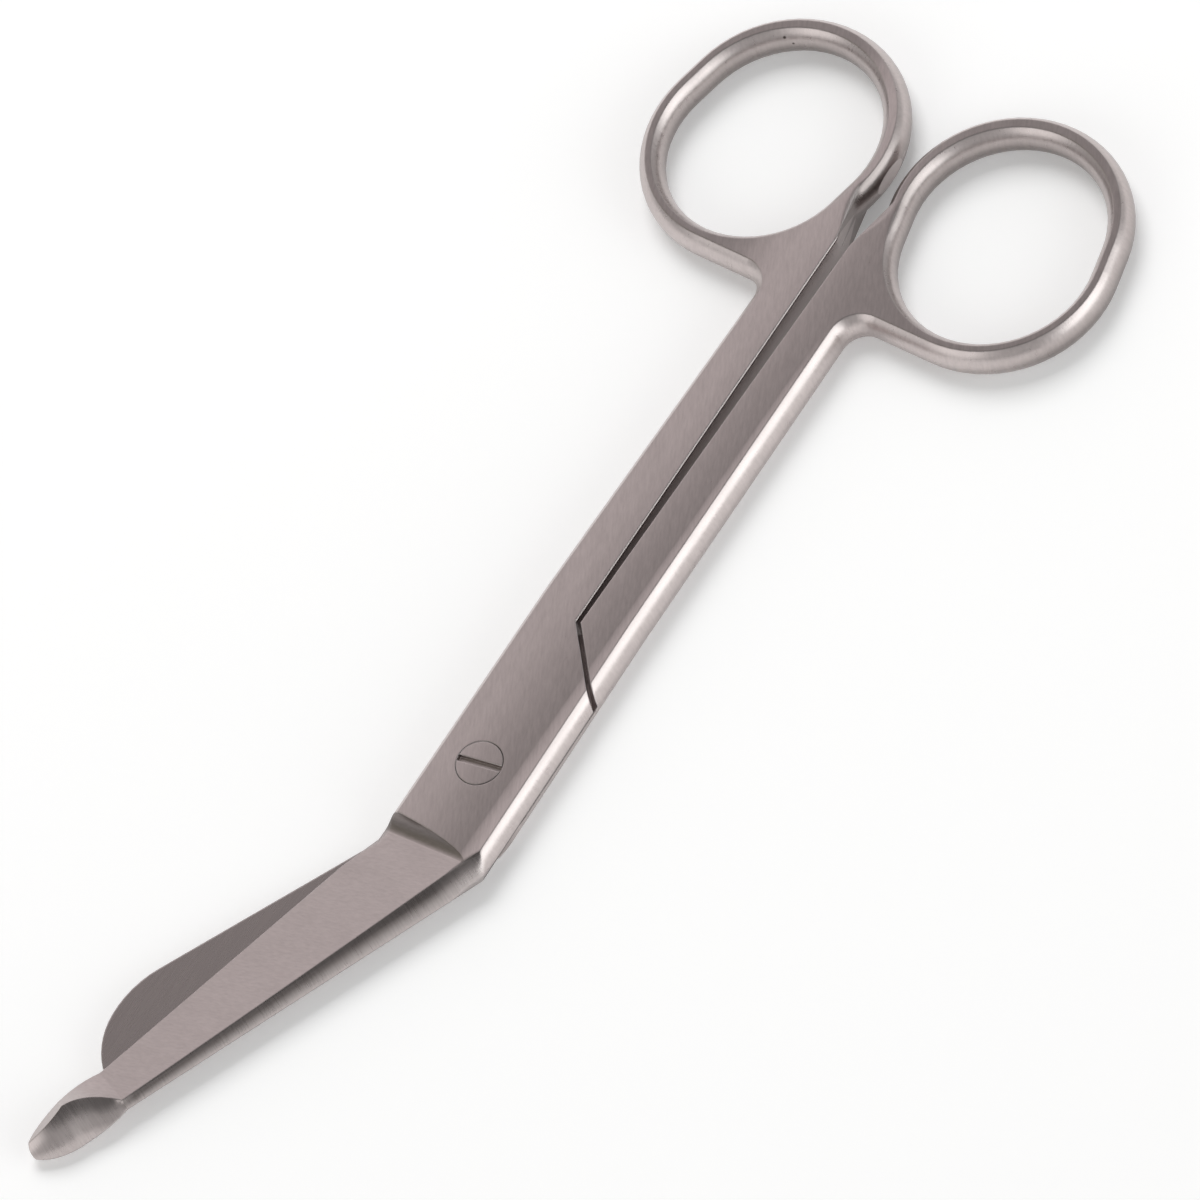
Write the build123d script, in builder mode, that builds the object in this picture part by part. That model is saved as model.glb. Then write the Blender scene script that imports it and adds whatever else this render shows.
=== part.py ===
from build123d import *
import os
from math import cos, hypot, radians

# Bandage scissors, 14.5 cm, closed and lying flat. The origin is on the pivot axis in the plane of
# the underside, +X runs along the handles towards the blade tips, +Y towards the ring of the lower
# half, +Z up. Both halves are ground together, so the flats and rounded sides run on across them.

# The closed pair
thickness = 4.2            # underside to top, over handles and joint
side_bulge = 1.0           # how far the rounded sides stand out past the creases of the flats
plate_clearance = 0.04     # running gap between the two joint plates
edge_land = 0.2            # thickness of the blades along their cutting edges

# Finger rings
ring_front_x = -59.6       # front of the ring, beside the shank
ring_half_gap = 1.2        # half of the gap between the two rings
hole_width = 20.64         # finger hole, the short way
hole_straight = 2.96       # straight run of its long sides
ring_tilt = 13.0           # turn of the long way, outwards towards the blades
ring_wall = 2.65           # width of the ring bar
ring_back_extra = 0.3      # more metal at the back of the ring

# Shanks: flat bars that swell gently towards the joint
shank_half_width = 5.55    # outer side at the ring, from the middle line
waist_x = -20.0
waist_half_width = 5.95    # outer side where the joint begins
waist_radius = 100.0       # bend of the side there
crotch_radius = 2.25       # hollow between the shank and the front of the ring
web_x = -66.5              # where the inner wall turns away towards the ring
gap_at_notch = 0.3         # half of the slit between the shanks
gap_at_web = 0.88

# Notch where the plates step past each other
shoulder_inner_x = -17.87  # lower half's shoulder at the slit
shoulder_outer = (-11.0, 6.55)
notch_gap = 0.5            # square to the shoulder, seen from above

# Joint plates
corner_x = 10.2            # outer corner, where the blades bend away
corner_y = 6.75
inner_bend_x = 11.2        # inner corner of the bend
inner_bend_y = -5.4
plate_round_x = 2.0        # where the lower plate's front rounds away

# Upper blade, with the probe
edge_root = (15.29, -7.11)
back_bevel = 1.84          # width of the back's bevel at the corner, seen from above
back_radius = 4.0          # crown of that bevel
step_x = 10.1              # foot of the step between the plate and the blade's ground face
step_radius = 1.7          # hollow left by the wheel at the step

# Probe: sizes along and across it are from its middle, heights from the underside of the handles
probe_x = 51.16
probe_y = -15.57
probe_angle = -21.0
probe_reach = 5.2          # middle to tip
probe_half_width = 2.5
probe_top = 3.75
probe_tip_top = 1.9
probe_underside = 0.6
probe_rim = 1.2            # where its underside meets its sides
ridge_offset = 1.2         # the ridge lies this far towards the cutting edge
ridge_slope = 40.0         # fall of the narrow face beyond the ridge
ridge_pitch = 15.0         # fall of that face towards the tip
neck_along = -5.0          # where the blade ends and the probe begins to form
neck_back = 2.75
neck_edge = 2.5
swell_along = -2.6         # its widest place, where the crease has swung across
swell_half_width = 2.87
swell_ridge = (-0.3, 3.5)
swell_rim = 1.75
swell_underside = 1.55

# Lower blade, with the round nose
nose_start = (33.2, -17.55)
nose_low = (39.6, -18.9)
nose_end = (45.0, -16.2)
lower_edge_tip = (45.4, -14.5)
lower_edge_root = (12.5, -1.9)
lower_back_z = 0.3         # underside of the ground face at the nose

# Pivot screw
head_diameter = 4.85
head_depth = 1.0
neck_diameter = 3.2
thread_diameter = 2.6
slot_width = 0.65
slot_depth = 0.5
slot_angle = 100.0
pivot_clearance = 0.04     # all round the screw in the upper plate
thread_clearance = 0.02    # all round the screw in the lower plate

mid = thickness / 2
upper_face = mid - plate_clearance / 2     # top of the lower plate
lower_face = mid + plate_clearance / 2     # underside of the upper plate
ring_radius = hole_width / 2 + ring_wall
dome_height = probe_top - probe_rim
dome_radius = ((probe_half_width + ridge_offset) ** 2 + dome_height**2) / (2 * dome_height)
ring_crease = ring_radius - side_bulge
ring_x = ring_front_x - ring_radius - hole_straight / 2 * cos(radians(ring_tilt))
ring_y = ring_half_gap + ring_radius
beyond = 60.0              # reach of the cutting shapes past the metal
probe_axis = Vector(1, 0).rotate(Axis.Z, probe_angle)
probe_across = probe_axis.rotate(Axis.Z, 90)
neck_middle = Vector(probe_x, probe_y) + probe_axis * neck_along
back_tip = neck_middle + probe_across * neck_back
edge_tip = neck_middle - probe_across * neck_edge


def ring_point(side, along, out):
    """Point of a finger ring, from its centre along the hole's long way and square to it, outwards."""
    local = Vector(along, out).rotate(Axis.Z, ring_tilt)
    return ring_x + local.X, side * (ring_y + local.Y)


def side_crease(side, height):
    """Crease of one outer side: from the web round the ring and along the shank to the joint's front."""
    half = hole_straight / 2
    back_end = -half - ring_back_extra
    front_x, front_y = ring_point(side, half, 0)
    face_x = front_x + ring_crease
    joint_front = (corner_x, corner_y - side_bulge) if side > 0 else (inner_bend_x, inner_bend_y + side_bulge)
    with BuildLine(Plane.XY.offset(height)) as crease:
        Line(ring_point(side, half, -ring_crease), ring_point(side, back_end, -ring_crease))
        CenterArc(ring_point(side, back_end, 0), ring_crease, side * (ring_tilt - 90), -side * 180)
        Line(ring_point(side, back_end, ring_crease), ring_point(side, half, ring_crease))
        CenterArc((front_x, front_y), ring_crease, side * (90 + ring_tilt), -side * (90 + ring_tilt))
        FilletPolyline(
            (face_x, front_y),
            (face_x, side * (shank_half_width - side_bulge)),
            (waist_x, side * (waist_half_width - side_bulge)),
            joint_front,
            radius=[crotch_radius + side_bulge, waist_radius],
        )
    return crease.wire()


def hole_crease(side, height):
    """Crease round one finger hole."""
    radius = hole_width / 2 + side_bulge
    half = hole_straight / 2
    with BuildLine(Plane.XY.offset(height)) as crease:
        CenterArc(ring_point(side, -half, 0), radius, side * (90 + ring_tilt), side * 180)
        Line(ring_point(side, -half, -radius), ring_point(side, half, -radius))
        CenterArc(ring_point(side, half, 0), radius, side * (ring_tilt - 90), side * 180)
        Line(ring_point(side, half, radius), ring_point(side, -half, radius))
    return crease.wire()


def rounded_side(path, outward):
    """Bar of round-backed section that lies along a crease and stands out by the side bulge."""
    start = path @ 0
    with BuildPart() as bar:
        with BuildSketch(Plane(start, x_dir=outward, z_dir=path % 0)):
            with BuildLine():
                ThreePointArc((0, -mid), (side_bulge, 0), (0, mid))
                Line((0, mid), (0, -mid))
            make_face()
        sweep(path=path)
    return bar.part


def closed_pair():
    """Handles and joint of both halves as one body, before the slit and the notch part them."""
    half = hole_straight / 2
    with BuildPart() as pair:
        with BuildSketch():
            near, far = side_crease(1, 0), side_crease(-1, 0)
            with BuildLine():
                add(near)
                add(far)
                Line(near @ 1, far @ 1)
                Polyline(near @ 0, (web_x, (near @ 0).Y), (web_x, (far @ 0).Y), far @ 0)
            make_face()
            for side in (1, -1):
                web_tip = ring_point(side, -half, -ring_crease)
                web_foot = ring_point(side, half, -ring_crease)
                with BuildLine():
                    Polyline(web_tip, web_foot, (web_x, web_foot[1]), (web_x, side * gap_at_web), close=True)
                make_face()
                with BuildLine():
                    add(hole_crease(side, 0))
                make_face(mode=Mode.SUBTRACT)
        extrude(amount=thickness)
        for side in (1, -1):
            crease = side_crease(side, mid)
            add(rounded_side(crease, (crease % 0).rotate(Axis.Z, side * 90)))
            hole = hole_crease(side, mid)
            add(rounded_side(hole, (hole % 0).rotate(Axis.Z, side * 90)))
    return pair.part


def parting_line(side):
    """Inner wall of one half's handle, from far behind the rings to its shoulder at the notch."""
    slope = (gap_at_web - gap_at_notch) / (shoulder_inner_x - web_x)
    far_x = ring_x - beyond
    far_gap = gap_at_notch + slope * (shoulder_inner_x - far_x)
    return (far_x, side * far_gap), (shoulder_inner_x, side * gap_at_notch)


def half_of_pair(side):
    """Handle and joint plate of one half. The lower half is side 1, the upper half side -1."""
    wall_start, wall_end = parting_line(side)
    across = shoulder_outer[1] - gap_at_notch
    lean = (shoulder_outer[0] - shoulder_inner_x) / across
    run = beyond * lean
    shift = notch_gap * hypot(1, lean)
    plate_x = shoulder_inner_x + shift - 2 * gap_at_notch * lean
    plate_z, other_z = (0, upper_face) if side > 0 else (lower_face, 0)
    plate_height = upper_face if side > 0 else thickness - lower_face
    with BuildPart() as half:
        add(closed_pair())
        with BuildSketch(Plane.XY.offset(plate_z)):
            with BuildLine():
                Polyline(
                    wall_start,
                    (plate_x, side * gap_at_notch),
                    (plate_x + run, side * (gap_at_notch - beyond)),
                    (wall_start[0], -side * beyond),
                    close=True,
                )
            make_face()
        extrude(amount=plate_height, mode=Mode.SUBTRACT)
        with BuildSketch(Plane.XY.offset(other_z)):
            with BuildLine():
                Polyline(
                    wall_start,
                    wall_end,
                    (shoulder_inner_x + run, side * (gap_at_notch + beyond)),
                    (shoulder_inner_x + run, -side * beyond),
                    (wall_start[0], -side * beyond),
                    close=True,
                )
            make_face()
        extrude(amount=thickness - plate_height, mode=Mode.SUBTRACT)
    return half.part


def ground_face(edge_start, edge_end, back):
    """Metal outside a blade's ground face, with the hollow that the wheel leaves at the step."""
    out = (edge_end - edge_start).cross(back - edge_start).normalized()
    along = out.cross(Vector(1, 0, 0)).normalized()
    ahead = along.cross(out)
    foot = edge_start + ahead * ((step_x - edge_start.X) / ahead.X)
    with BuildPart() as waste:
        with BuildSketch(Plane(foot, x_dir=ahead, z_dir=ahead.cross(out))):
            with BuildLine():
                wheel = CenterArc((0, step_radius), step_radius, 180, 90)
                Polyline(
                    wheel @ 1,
                    (beyond, 0),
                    (beyond, 2 * thickness),
                    (-step_radius, 2 * thickness),
                    wheel @ 0,
                )
            make_face()
        extrude(amount=beyond, both=True)
    return waste.part


def back_waste():
    """Metal outside the crowned bevel along the back of the upper blade."""
    along = (back_tip - Vector(corner_x, corner_y)).normalized()
    outward = along.rotate(Axis.Z, 90)
    with BuildPart() as waste:
        with BuildSketch(Plane((corner_x, corner_y, mid), x_dir=outward, z_dir=along)):
            with BuildLine():
                bevel = RadiusArc((0, 0), (-back_bevel, mid), -back_radius)
                Polyline(
                    bevel @ 1,
                    (-back_bevel, thickness),
                    (beyond, thickness),
                    (beyond, 0),
                    bevel @ 0,
                )
            make_face()
        extrude(amount=beyond, both=True)
    return waste.part


def probe_plane(along):
    """Plane across the probe, with its X towards the back of the blade."""
    return Plane(Vector(probe_x, probe_y) + probe_axis * along, x_dir=probe_across, z_dir=probe_axis)


def swell_section():
    """Section at the widest place: narrow face, ridge, round back and underside."""
    with BuildSketch(probe_plane(swell_along)) as section:
        with BuildLine():
            edge_top = (-swell_half_width, lower_face + edge_land)
            edge_rim = (-swell_half_width, swell_rim)
            back_rim = (swell_half_width, swell_rim)
            Line(edge_top, swell_ridge)
            RadiusArc(swell_ridge, back_rim, dome_radius)
            ThreePointArc(back_rim, (0, swell_underside), edge_rim)
            Line(edge_rim, edge_top)
        make_face()
    return section.sketch


def probe_tip():
    """Front half of the probe: an oval, domed above and below, with the ridge running down to its tip."""
    axis_z = probe_top - dome_radius
    sag = probe_rim - probe_underside
    keel_radius = (probe_half_width**2 + sag**2) / (2 * sag)
    keel_z = probe_underside + keel_radius
    with BuildPart() as tip:
        with BuildSketch():
            Ellipse(probe_reach, probe_half_width)
            Rectangle(2 * probe_reach, 2 * probe_reach, align=(Align.MAX, Align.CENTER), mode=Mode.SUBTRACT)
        extrude(amount=thickness)
        with BuildSketch(Plane((0, -ridge_offset, axis_z), x_dir=(1, 0, 0), z_dir=(0, -1, 0))):
            with BuildLine():
                tip_radius = probe_tip_top - axis_z
                dome = ThreePointArc((-probe_reach, tip_radius), (0, dome_radius), (probe_reach, tip_radius))
                Polyline(dome @ 1, (probe_reach, 0), (-probe_reach, 0), dome @ 0)
            make_face()
        revolve(axis=Axis((0, -ridge_offset, axis_z), (1, 0, 0)), mode=Mode.INTERSECT)
        with BuildSketch(Plane((0, 0, keel_z), x_dir=(1, 0, 0), z_dir=(0, -1, 0))):
            with BuildLine():
                tip_z = probe_rim - keel_z
                keel = ThreePointArc((-probe_reach, tip_z), (0, -keel_radius), (probe_reach, tip_z))
                Polyline(keel @ 1, (probe_reach, 0), (-probe_reach, 0), keel @ 0)
            make_face()
        revolve(axis=Axis((0, 0, keel_z), (1, 0, 0)), mode=Mode.INTERSECT)
        with Locations(Location((0, -ridge_offset, probe_top), (ridge_slope, ridge_pitch, 0))):
            Box(
                4 * probe_reach,
                4 * probe_half_width,
                thickness,
                align=(Align.CENTER, Align.CENTER, Align.MIN),
                mode=Mode.SUBTRACT,
            )
    return Location((probe_x, probe_y, 0), (0, 0, probe_angle)) * tip.part


with BuildPart() as probe_blade_half:
    add(half_of_pair(-1))
    with BuildSketch(Plane.XY.offset(lower_face)):
        with BuildLine():
            Polyline(
                (corner_x, corner_y),
                (back_tip.X, back_tip.Y),
                (edge_tip.X, edge_tip.Y),
                edge_root,
                (inner_bend_x, inner_bend_y),
                (inner_bend_x, inner_bend_y + side_bulge),
                (step_x - step_radius, inner_bend_y + 2 * side_bulge),
                (step_x - step_radius, corner_y - 2 * side_bulge),
                close=True,
            )
        make_face()
    extrude(amount=thickness - lower_face)
    edge_z = lower_face + edge_land
    add(back_waste(), mode=Mode.SUBTRACT)
    corner = Vector(corner_x, corner_y)
    inward = (back_tip - corner).normalized().rotate(Axis.Z, -90)
    crease_root = corner + inward * back_bevel
    add(
        ground_face(
            Vector(*edge_root, edge_z),
            Vector(edge_tip.X, edge_tip.Y, edge_z),
            Vector(crease_root.X, crease_root.Y, thickness),
        ),
        mode=Mode.SUBTRACT,
    )
    tip = probe_tip()
    along_probe = Axis((0, 0, 0), probe_axis)
    blade_end = probe_blade_half.faces().filter_by(along_probe)[0]
    loft(sections=[blade_end, swell_section().face(), tip.faces().filter_by(along_probe)[0]])
    add(tip)
    with Locations((0, 0, thickness)):
        CounterBoreHole(
            radius=neck_diameter / 2 + pivot_clearance,
            counter_bore_radius=head_diameter / 2 + pivot_clearance,
            counter_bore_depth=head_depth + pivot_clearance,
            depth=thickness,
        )

with BuildPart() as round_blade_half:
    add(half_of_pair(1))
    side_slope = (corner_y - waist_half_width) / (corner_x - waist_x)
    round_start = (plate_round_x, waist_half_width + side_slope * (plate_round_x - waist_x))
    with BuildSketch():
        with BuildLine():
            front = TangentArc(round_start, lower_edge_root, tangent=(1, side_slope))
            Polyline(
                front @ 1,
                (beyond, lower_edge_root[1]),
                (beyond, beyond),
                (plate_round_x, beyond),
                front @ 0,
            )
        make_face()
    extrude(amount=thickness, mode=Mode.SUBTRACT)
    with BuildSketch():
        with BuildLine():
            back = Line((inner_bend_x, inner_bend_y), nose_start)
            under = TangentArc(nose_start, nose_low, tangent=back % 1)
            nose = TangentArc(nose_low, nose_end, tangent=under % 1)
            Polyline(
                nose @ 1,
                lower_edge_tip,
                lower_edge_root,
                (step_x - step_radius, lower_edge_root[1]),
                (step_x - step_radius, inner_bend_y + 2 * side_bulge),
                (inner_bend_x, inner_bend_y + side_bulge),
                back @ 0,
            )
        make_face()
    extrude(amount=upper_face)
    lower_edge_z = upper_face - edge_land
    add(
        ground_face(
            Vector(*lower_edge_root, lower_edge_z),
            Vector(*lower_edge_tip, lower_edge_z),
            Vector(*nose_start, lower_back_z),
        ),
        mode=Mode.SUBTRACT,
    )
    with Locations((0, 0, thickness)):
        Hole(thread_diameter / 2 + thread_clearance, depth=thickness)

with BuildPart() as pivot_screw:
    with BuildSketch(Plane.XZ):
        with BuildLine():
            Polyline(
                (0, 0),
                (thread_diameter / 2, 0),
                (thread_diameter / 2, upper_face),
                (neck_diameter / 2, upper_face),
                (neck_diameter / 2, thickness - head_depth),
                (head_diameter / 2, thickness - head_depth),
                (head_diameter / 2, thickness),
                (0, thickness),
                close=True,
            )
        make_face()
    revolve(axis=Axis.Z)
    with BuildSketch(Plane.XY.offset(thickness)):
        Rectangle(2 * head_diameter, slot_width, rotation=slot_angle)
    extrude(amount=-slot_depth, mode=Mode.SUBTRACT)

os.makedirs("parts", exist_ok=True)
for piece, name in (
    (probe_blade_half, "probe_blade_half"),
    (round_blade_half, "round_blade_half"),
    (pivot_screw, "pivot_screw"),
):
    piece.part.label = name
    export_step(piece.part, f"parts/{name}.step")
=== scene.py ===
import bpy
from math import cos, radians, sin
from mathutils import Matrix, Vector

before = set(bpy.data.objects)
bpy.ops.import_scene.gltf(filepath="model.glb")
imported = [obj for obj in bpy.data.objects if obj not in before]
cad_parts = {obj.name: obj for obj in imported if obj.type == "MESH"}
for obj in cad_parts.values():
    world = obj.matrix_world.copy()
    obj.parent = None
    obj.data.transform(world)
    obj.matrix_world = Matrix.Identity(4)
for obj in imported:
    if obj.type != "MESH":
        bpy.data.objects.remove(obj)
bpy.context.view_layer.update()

# Upper half: a stainless steel forging with a ring, a shank, the upper joint plate and the long blade that
# ends in an oval probe. Its flats are ground on a belt, which leaves them a little crowned, its sides are
# polished round, and the back of the blade keeps the cross lines of a last pass over a small wheel.
satin_tint = (0.52, 0.464, 0.453)
# Lighter tint of the edges: rubbed by use, and a painted highlight.
rubbed_and_highlight_tint = (0.62, 0.57, 0.56, 1)
# Dark tint of the joint lines and pits, also used for painted shade on the rings, the blade's back and the
# step.
dirt_and_shade_tint = (0.035, 0.024, 0.018, 1)
blade_turn = -0.4486
blade_start = 0.0101
slit_end = -0.0178
slit_half_width = 0.0012
parting_height = 0.0021
screw_rim = 0.00245
edge_break = 0.0002
corner_break = 0.0012


def tinted(share):
    """The satin tint, lighter or darker by a share."""
    return (*(share * part for part in satin_tint), 1)


def grinding_lines(nodes, links, turn, stretch, grain):
    """Fine lines of a grinding belt or wheel, turned in the plane of the flats."""
    place = nodes.new("ShaderNodeTexCoord")
    turned = nodes.new("ShaderNodeMapping")
    turned.vector_type = "TEXTURE"
    turned.inputs["Rotation"].default_value = (0, 0, turn)
    turned.inputs["Scale"].default_value = stretch
    links.new(place.outputs["Object"], turned.inputs["Vector"])
    lines = nodes.new("ShaderNodeTexNoise")
    lines.inputs["Scale"].default_value = grain
    lines.inputs["Detail"].default_value = 4
    lines.inputs["Roughness"].default_value = 0.6
    links.new(turned.outputs["Vector"], lines.inputs["Vector"])
    return lines.outputs["Fac"]


def worked_out(nodes, links, operation, *values):
    """One step of arithmetic between sockets and numbers."""
    step = nodes.new("ShaderNodeMath")
    step.operation = operation
    for slot, value in zip(step.inputs, values):
        if isinstance(value, (int, float)):
            slot.default_value = value
        else:
            links.new(value, slot)
    return step.outputs["Value"]


def ramped(nodes, links, value, start, end, low, high):
    """A value that goes evenly from low to high between start and end, and stays level outside them."""
    ramp = nodes.new("ShaderNodeMapRange")
    for name, number in (("From Min", start), ("From Max", end), ("To Min", low), ("To Max", high)):
        ramp.inputs[name].default_value = number
    links.new(value, ramp.inputs["Value"])
    return ramp.outputs["Result"]


def along_and_across(nodes, links, turn):
    """Distances along and across the handle, or along and across the blade when turned with it."""
    place = nodes.new("ShaderNodeTexCoord")
    turned = nodes.new("ShaderNodeMapping")
    turned.vector_type = "TEXTURE"
    turned.inputs["Rotation"].default_value = (0, 0, turn)
    links.new(place.outputs["Object"], turned.inputs["Vector"])
    split = nodes.new("ShaderNodeSeparateXYZ")
    links.new(turned.outputs["Vector"], split.inputs["Vector"])
    return split.outputs


def edge_radius(nodes, links):
    """Radius of the broken edges: small, but large by the blade's corner and the rings' ends at the slit."""
    place = along_and_across(nodes, links, 0)
    folded = nodes.new("ShaderNodeCombineXYZ")
    links.new(place["X"], folded.inputs["X"])
    links.new(worked_out(nodes, links, "ABSOLUTE", place["Y"]), folded.inputs["Y"])
    links.new(place["Z"], folded.inputs["Z"])
    radius = edge_break
    for middle in ((0.0104, 0.0064, 0.0030), (-0.0708, 0.0017, 0.0034)):
        reach = nodes.new("ShaderNodeVectorMath")
        reach.operation = "DISTANCE"
        reach.inputs[1].default_value = middle
        links.new(folded.outputs["Vector"], reach.inputs[0])
        rounder = ramped(nodes, links, reach.outputs["Value"], 0.0008, 0.0030, corner_break, edge_break)
        radius = worked_out(nodes, links, "MAXIMUM", rounder, radius)
    return radius


def rubbed_and_highlight_edge(nodes, links, softened):
    """Mask of the edges, painted lighter: partly the rub of hands and cloths on the satin finish, partly a
    painted highlight.
    """
    surface = nodes.new("ShaderNodeNewGeometry")
    agreement = nodes.new("ShaderNodeVectorMath")
    agreement.operation = "DOT_PRODUCT"
    links.new(softened, agreement.inputs[0])
    links.new(surface.outputs["Normal"], agreement.inputs[1])
    return ramped(nodes, links, agreement.outputs["Value"], 0.995, 0.90, 0, 1)


def crowned_flats(nodes, links):
    """Rise of the belt-ground flats over the closed pair, with a fall to the far side and a near lip."""
    place = along_and_across(nodes, links, 0)
    crown = nodes.new("ShaderNodeFloatCurve")
    curve = crown.mapping.curves[0]
    curve.points[0].location = (0, 0)
    curve.points[1].location = (1, 0.90)
    for at, height in (
        (0.12, 0.03), (0.20, 0.12), (0.28, 0.28), (0.356, 0.465),
        (0.44, 0.65), (0.52, 0.77), (0.60, 0.845), (0.70, 0.885),
    ):
        curve.points.new(at, height)
    crown.mapping.update()
    links.new(ramped(nodes, links, place["Y"], -0.012, 0.012, 0, 1), crown.inputs["Value"])
    lip = ramped(nodes, links, place["Y"], 0.0040, 0.0062, 0, 1)
    lip = worked_out(nodes, links, "POWER", lip, 1.6)
    lip_fade = ramped(nodes, links, place["X"], -0.058, -0.050, 0, 0.36)
    lip = worked_out(nodes, links, "MULTIPLY", lip, lip_fade)
    rise = worked_out(nodes, links, "MULTIPLY_ADD", crown.outputs["Value"], 1.55, lip)
    return worked_out(nodes, links, "MULTIPLY", rise, 0.001)


def out_from_crease(nodes, links, blade):
    """Distance out from the crease of the blade's back, and the back's width there."""
    crease = worked_out(nodes, links, "MULTIPLY_ADD", blade["X"], 0.0288, 0.00852)
    out = worked_out(nodes, links, "SUBTRACT", blade["Y"], crease)
    return out, worked_out(nodes, links, "SUBTRACT", 0.0105, crease)


def hollow_back(nodes, links):
    """Rise of the blade's back away from its crease, more towards the tip, and fall of the probe's back."""
    blade = along_and_across(nodes, links, blade_turn)
    out, width = out_from_crease(nodes, links, blade)
    out = worked_out(nodes, links, "MAXIMUM", out, 0)
    part = worked_out(nodes, links, "MINIMUM", worked_out(nodes, links, "DIVIDE", out, width), 1)
    rise = worked_out(nodes, links, "MULTIPLY", part, worked_out(nodes, links, "MULTIPLY_ADD", part, -0.5, 1))
    lean = ramped(nodes, links, blade["X"], 0.007, 0.047, 0.22, 0.70)
    fade = ramped(nodes, links, blade["X"], 0.046, 0.049, 1, 0)
    lean = worked_out(nodes, links, "MULTIPLY", lean, fade)
    rise = worked_out(nodes, links, "MULTIPLY", rise, worked_out(nodes, links, "MULTIPLY", lean, width))
    probe_lean = ramped(nodes, links, blade["X"], 0.0488, 0.0515, 0, -0.25)
    probe_out = worked_out(nodes, links, "SUBTRACT", blade["Y"], 0.0092)
    return worked_out(nodes, links, "MULTIPLY_ADD", probe_lean, probe_out, rise)


def back_crease_painted_shade(nodes, links):
    """Mask of painted shade: a dark strip beside the crease of the blade's back."""
    blade = along_and_across(nodes, links, blade_turn)
    part = worked_out(nodes, links, "DIVIDE", *out_from_crease(nodes, links, blade))
    strip = nodes.new("ShaderNodeMapRange")
    strip.interpolation_type = "SMOOTHSTEP"
    for name, number in (("From Min", 0.35), ("From Max", 1), ("To Min", 0.58), ("To Max", 0.08)):
        strip.inputs[name].default_value = number
    links.new(part, strip.inputs["Value"])
    by_crease = ramped(nodes, links, part, 0, 0.35, 0.35, 1)
    shade = worked_out(nodes, links, "MULTIPLY", strip.outputs["Result"], by_crease)
    start = ramped(nodes, links, blade["X"], 0.0075, 0.011, 0, 1)
    end = ramped(nodes, links, blade["X"], 0.0465, 0.0485, 1, 0)
    blade_only = worked_out(nodes, links, "MULTIPLY", start, end)
    return worked_out(nodes, links, "MULTIPLY", shade, blade_only)


def step_painted_shade(nodes, links):
    """Mask of painted shade in the wheel's hollow at the step, which fades out on the blade's face."""
    return ramped(nodes, links, along_and_across(nodes, links, 0)["X"], 0.0089, blade_start, 0.55, 0)


def stoned_edge(nodes, links):
    """Fall of the slit's walls towards the top, where a stone took the edge off."""
    height = along_and_across(nodes, links, 0)["Z"]
    over = worked_out(nodes, links, "MAXIMUM", worked_out(nodes, links, "SUBTRACT", height, 0.0037), 0)
    return worked_out(nodes, links, "MULTIPLY", worked_out(nodes, links, "MULTIPLY", over, over), -1100)


def spot(nodes, links, middle, radius):
    """Mask of a small round spot."""
    place = nodes.new("ShaderNodeTexCoord")
    reach = nodes.new("ShaderNodeVectorMath")
    reach.operation = "DISTANCE"
    reach.inputs[1].default_value = middle
    links.new(place.outputs["Object"], reach.inputs[0])
    return ramped(nodes, links, reach.outputs["Value"], radius / 2, radius, 0.85, 0)


def side_marks_and_painted_shade(nodes, links):
    """Dark line where the joint plates meet, painted shade between the rings and low on the rings' sides, and
    two pits.
    """
    place = along_and_across(nodes, links, 0)
    off = worked_out(nodes, links, "SUBTRACT", place["Z"], parting_height)
    off = worked_out(nodes, links, "ABSOLUTE", off)
    line = ramped(nodes, links, off, 0.00005, 0.00018, 1, 0)
    by_joint = worked_out(nodes, links, "COMPARE", place["X"], -0.0005, 0.0105)
    line = worked_out(nodes, links, "MULTIPLY", line, by_joint)
    inner = worked_out(nodes, links, "ABSOLUTE", place["Y"])
    # Painted shade on the metal between the rings, strongest close to the slit.
    ring_gap_shade = ramped(nodes, links, inner, 0.0026, 0.0040, 0.36, 0)
    ring_gap_shade = worked_out(nodes, links, "MULTIPLY", ring_gap_shade, ramped(nodes, links, place["X"], -0.085, -0.074, 0, 1))
    ring_gap_shade = worked_out(nodes, links, "MULTIPLY", ring_gap_shade, ramped(nodes, links, place["X"], -0.066, -0.060, 1, 0))
    # Painted shade: the rings' sides darker towards the bottom.
    low = ramped(nodes, links, place["Z"], 0.0022, 0.0038, 0.40, 0)
    low = worked_out(nodes, links, "MULTIPLY", low, ramped(nodes, links, place["X"], -0.066, -0.060, 1, 0))
    marks_and_shade = worked_out(nodes, links, "MAXIMUM", line, worked_out(nodes, links, "MAXIMUM", ring_gap_shade, low))
    for middle, radius in (((-0.08446, -0.01955, 0.00343), 0.00022), ((-0.08459, -0.01874, 0.00264), 0.0002)):
        marks_and_shade = worked_out(nodes, links, "MAXIMUM", marks_and_shade, spot(nodes, links, middle, radius))
    return marks_and_shade


def rim_grime(nodes, links):
    """Mask of the dark line round the screw's head."""
    place = along_and_across(nodes, links, 0)
    around = nodes.new("ShaderNodeCombineXYZ")
    links.new(place["X"], around.inputs["X"])
    links.new(place["Y"], around.inputs["Y"])
    radius = nodes.new("ShaderNodeVectorMath")
    radius.operation = "LENGTH"
    links.new(around.outputs["Vector"], radius.inputs[0])
    off = worked_out(nodes, links, "SUBTRACT", radius.outputs["Value"], screw_rim)
    line = ramped(nodes, links, worked_out(nodes, links, "ABSOLUTE", off), 0.00002, 0.00010, 1, 0)
    near_side = ramped(nodes, links, place["Y"], -0.0020, 0.0015, 0.15, 0.8)
    return worked_out(nodes, links, "MULTIPLY", line, near_side)


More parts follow.
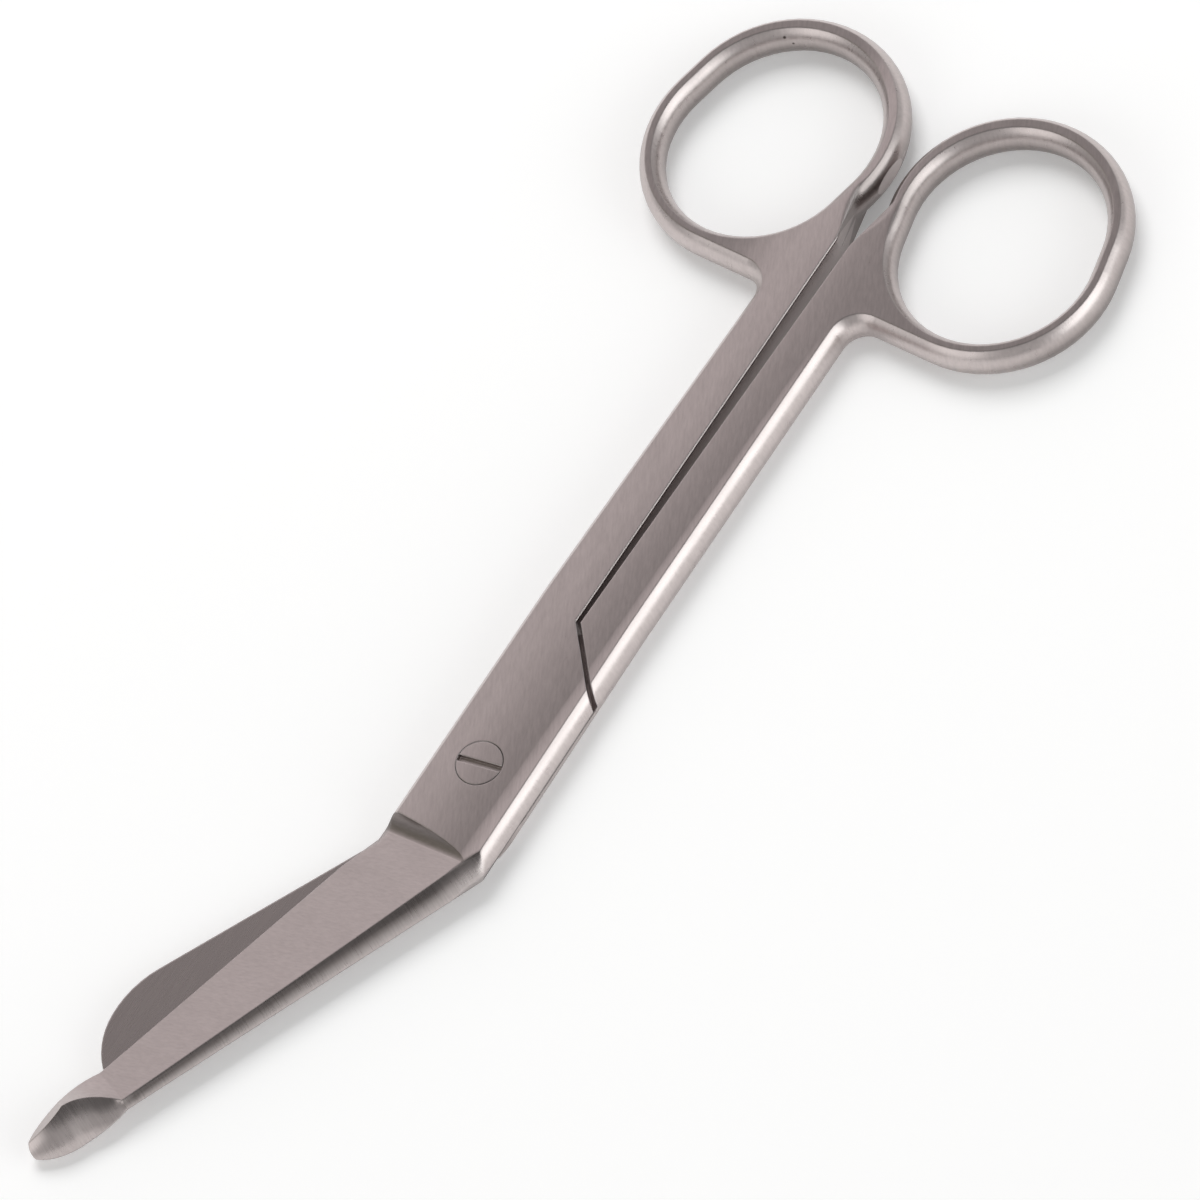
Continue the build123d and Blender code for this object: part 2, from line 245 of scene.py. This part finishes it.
def satin_steel(name, turn, stretch, grain, gloss, depth, spread, form=None, dirt_and_shade=None, painted_light_share=1):
    """Ground stainless steel: lines of the last pass, gloss that changes over them, and rubbed edges with a
    painted highlight.
    """
    made = bpy.data.materials.new(name)
    made.use_nodes = True
    nodes, links = made.node_tree.nodes, made.node_tree.links
    steel = nodes["Principled BSDF"]
    steel.inputs["Metallic"].default_value = 1
    lines = grinding_lines(nodes, links, turn, stretch, grain)
    clouds = grinding_lines(nodes, links, turn, (3, 1, 1), 600)
    both = worked_out(nodes, links, "ADD", lines, clouds)
    edge = nodes.new("ShaderNodeBevel")
    edge.samples = 6
    links.new(edge_radius(nodes, links), edge.inputs["Radius"])
    normal = edge.outputs["Normal"]
    # A share other than 1 paints the steel lighter or darker: painted light.
    layers = [(tinted(painted_light_share * (1 + spread)), ramped(nodes, links, lines, 0.3, 0.7, 0, 1))]
    layers.append((rubbed_and_highlight_tint, rubbed_and_highlight_edge(nodes, links, normal)))
    # Dark layer: joint lines and pits, and painted shade where the mask gives it.
    if dirt_and_shade:
        layers.append((dirt_and_shade_tint, dirt_and_shade(nodes, links)))
    colour = None
    for tint, mask in layers:
        layer = nodes.new("ShaderNodeMix")
        layer.data_type = "RGBA"
        layer.inputs["A"].default_value = tinted(painted_light_share * (1 - spread))
        layer.inputs["B"].default_value = tint
        links.new(mask, layer.inputs["Factor"])
        if colour:
            links.new(colour, layer.inputs["A"])
        colour = layer.outputs["Result"]
    links.new(colour, steel.inputs["Base Color"])
    links.new(ramped(nodes, links, both, 0.6, 1.4, *gloss), steel.inputs["Roughness"])
    reliefs = [(lines, depth)]
    if form:
        reliefs.insert(0, (form(nodes, links), 1))
    for height, distance in reliefs:
        relief = nodes.new("ShaderNodeBump")
        relief.inputs["Strength"].default_value = 1
        relief.inputs["Distance"].default_value = distance
        links.new(height, relief.inputs["Height"])
        links.new(normal, relief.inputs["Normal"])
        normal = relief.outputs["Normal"]
    links.new(normal, steel.inputs["Normal"])
    return made


belt_flats = satin_steel(
    "belt_flats", 0.5, (5, 1, 1), 4200, (0.27, 0.37), 0.000007, 0.09, crowned_flats, rim_grime
)
# Painted light: the sides' steel is a tenth lighter than the flats', to brighten their reflections.
polished_sides = satin_steel(
    "polished_sides", 0, (1, 1, 14), 3200, (0.24, 0.38), 0.000009, 0.07, dirt_and_shade=side_marks_and_painted_shade, painted_light_share=1.1
)
blade_face = satin_steel("blade_face", 1.75, (4, 1, 1), 4200, (0.28, 0.38), 0.000008, 0.09)
# The blade's back carries painted shade beside its crease.
wheel_back = satin_steel(
    "wheel_back", blade_turn, (1, 14, 14), 5200, (0.24, 0.34), 0.000005, 0.09, hollow_back, back_crease_painted_shade
)
# The step's hollow gets painted shade.
wheel_step = satin_steel("wheel_step", 1.75, (4, 1, 1), 4200, (0.30, 0.40), 0.000008, 0.09, dirt_and_shade=step_painted_shade)
slit_wall = satin_steel("slit_wall", 0, (14, 1, 1), 5000, (0.28, 0.36), 0.000003, 0.05, stoned_edge)
smooth_inside = satin_steel("smooth_inside", 0, (14, 1, 1), 5000, (0.24, 0.30), 0.000001, 0.03)

upper_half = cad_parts["probe_blade_half"]
upper_half.data.materials.clear()
upper_finishes = [belt_flats, polished_sides, blade_face, wheel_back, smooth_inside, slit_wall, wheel_step]
for finish in upper_finishes:
    upper_half.data.materials.append(finish)
blade_back = Matrix.Rotation(blade_turn, 3, "Z") @ Vector((0, 1, 0))
for face in upper_half.data.polygons:
    by_slit = face.center.x < slit_end and abs(face.center.y) < slit_half_width
    in_step = 0.0083 < face.center.x < blade_start and face.normal.x > 0.05
    if by_slit and abs(face.normal.z) < 0.01:
        finish = slit_wall
    elif in_step and face.normal.z > 0.1:
        finish = wheel_step
    elif face.center.x <= blade_start:
        finish = belt_flats if abs(face.normal.z) > 0.999 else polished_sides
    elif face.normal.z < -0.99:
        finish = smooth_inside
    elif face.normal.z < 0.15:
        finish = polished_sides
    else:
        finish = blade_face if face.normal.dot(blade_back) < -0.02 else wheel_back
    face.material_index = upper_finishes.index(finish)

# Lower half: the second forging, with its own ring and shank, the lower joint plate that holds the screw and
# the shorter round-nosed blade. Its inner face is ground flat and smooth, as it slides on the upper blade.
lower_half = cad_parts["round_blade_half"]
lower_half.data.materials.clear()
lower_finishes = [belt_flats, polished_sides, blade_face, smooth_inside, slit_wall]
for finish in lower_finishes:
    lower_half.data.materials.append(finish)
for face in lower_half.data.polygons:
    by_slit = face.center.x < slit_end and abs(face.center.y) < slit_half_width
    if by_slit and abs(face.normal.z) < 0.01:
        finish = slit_wall
    elif abs(face.normal.z) < 0.6:
        finish = polished_sides
    elif face.center.x > blade_start:
        finish = smooth_inside if face.normal.z > 0 else blade_face
    else:
        finish = belt_flats if abs(face.normal.z) > 0.999 else polished_sides
    face.material_index = lower_finishes.index(finish)

# Pivot screw: turned from the same steel, with a sawn slot across its low head. It is screwed tight into the
# lower plate and then ground flush with the upper one, so the belt's lines run on over it.
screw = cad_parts["pivot_screw"]
screw.data.materials.clear()
screw.data.materials.append(belt_flats)

# Floor: a white sheet that the scissors lie on. It shows white to the camera and in the steel, and keeps the
# soft shadow under the metal.
bpy.ops.object.select_all(action="DESELECT")
bpy.ops.mesh.primitive_plane_add(size=6, location=(0, 0, -0.00005))
floor = bpy.context.object
floor.name = "floor"
sheet = bpy.data.materials.new("white_sheet")
sheet.use_nodes = True
nodes, links = sheet.node_tree.nodes, sheet.node_tree.links
paper = nodes["Principled BSDF"]
paper.inputs["Base Color"].default_value = (0.9, 0.9, 0.9, 1)
paper.inputs["Roughness"].default_value = 0.9
paper.inputs["Specular IOR Level"].default_value = 0
paper.inputs["Emission Color"].default_value = (1, 1, 1, 1)
seen = nodes.new("ShaderNodeLightPath")
looked_at = seen.outputs["Is Camera Ray"]
for ray in ("Is Glossy Ray", "Is Transmission Ray"):
    looked_at = worked_out(nodes, links, "ADD", looked_at, seen.outputs[ray])
lift = worked_out(nodes, links, "MULTIPLY", looked_at, 0.2)
links.new(lift, paper.inputs["Emission Strength"])
floor.data.materials.append(sheet)

# Studio: a dim grey tent with three soft panels, one beside the camera, one past the blades and a paler one
# at the back, and a darker patch between the last two. A soft lamp over the back wall lights the sheet, so
# the shadow falls towards the camera.
world = bpy.data.worlds.new("grey_tent")
bpy.context.scene.world = world
world.use_nodes = True
nodes, links = world.node_tree.nodes, world.node_tree.links
direction = nodes.new("ShaderNodeTexCoord")
split = nodes.new("ShaderNodeSeparateXYZ")
links.new(direction.outputs["Generated"], split.inputs["Vector"])
tent = nodes.new("ShaderNodeMapRange")
tent.interpolation_type = "SMOOTHSTEP"
tent.inputs["From Min"].default_value = 0.55
tent.inputs["From Max"].default_value = 0.93
tent.inputs["To Min"].default_value = 0.49
tent.inputs["To Max"].default_value = 0.16
links.new(split.outputs["Z"], tent.inputs["Value"])


def soft_panel(light_so_far, turn, rise, inner, outer, colour):
    """Adds a round panel of the tent: its middle as turn and rise, its bright and outer radius in degrees."""
    flat = cos(radians(rise))
    aim = Vector((cos(radians(turn)) * flat, sin(radians(turn)) * flat, sin(radians(rise))))
    nearness = nodes.new("ShaderNodeVectorMath")
    nearness.operation = "DOT_PRODUCT"
    nearness.inputs[1].default_value = aim
    links.new(direction.outputs["Generated"], nearness.inputs[0])
    glow = nodes.new("ShaderNodeMapRange")
    glow.interpolation_type = "SMOOTHSTEP"
    glow.inputs["From Min"].default_value = cos(radians(outer))
    glow.inputs["From Max"].default_value = cos(radians(inner))
    links.new(nearness.outputs["Value"], glow.inputs["Value"])
    panel = nodes.new("ShaderNodeVectorMath")
    panel.operation = "MULTIPLY_ADD"
    panel.inputs[1].default_value = colour
    links.new(glow.outputs["Result"], panel.inputs[0])
    links.new(light_so_far, panel.inputs[2])
    return panel.outputs["Vector"]


light = soft_panel(tent.outputs["Result"], 103, 10, 12, 38, (1.66, 1.74, 1.74))
light = soft_panel(light, 351, 26, 5, 29, (0.86, 0.86, 0.85))
light = soft_panel(light, 238, 25, 10, 40, (0.41, 0.36, 0.37))
light = soft_panel(light, 295, 42, 10, 32, (-0.14, -0.15, -0.19))
links.new(light, nodes["Background"].inputs["Color"])
bpy.ops.object.light_add(type="AREA", location=(-0.65, -0.65, 1.31), rotation=(0.611, 0, -0.785))
lamp = bpy.context.object
lamp.data.size = 1
lamp.data.energy = 13.5
lamp.visible_glossy = False

# Camera: far off with a long lens, as for a catalogue, above the side where the blade's back shows. It is
# rolled so that the scissors cross the picture from corner to corner.
back = Vector((0.2957, 0.4609, 0.8368)).normalized()
level_up = (Vector((0, 0, 1)) - back * back.z).normalized()
level_right = level_up.cross(back)
roll = Matrix.Rotation(-0.46932, 3, back)
right, up = roll @ level_right, roll @ level_up
look_at = Vector((-0.02088, 0.00065, 0.0042))
stand = look_at + back * 1.2
bpy.ops.object.camera_add(location=stand)
camera = bpy.context.object
camera.data.lens = 362.5
turned = Matrix((right, up, back)).transposed().to_4x4()
camera.matrix_world = Matrix.Translation(stand) @ turned
bpy.context.scene.camera = camera
bpy.context.scene.view_settings.view_transform = "Standard"
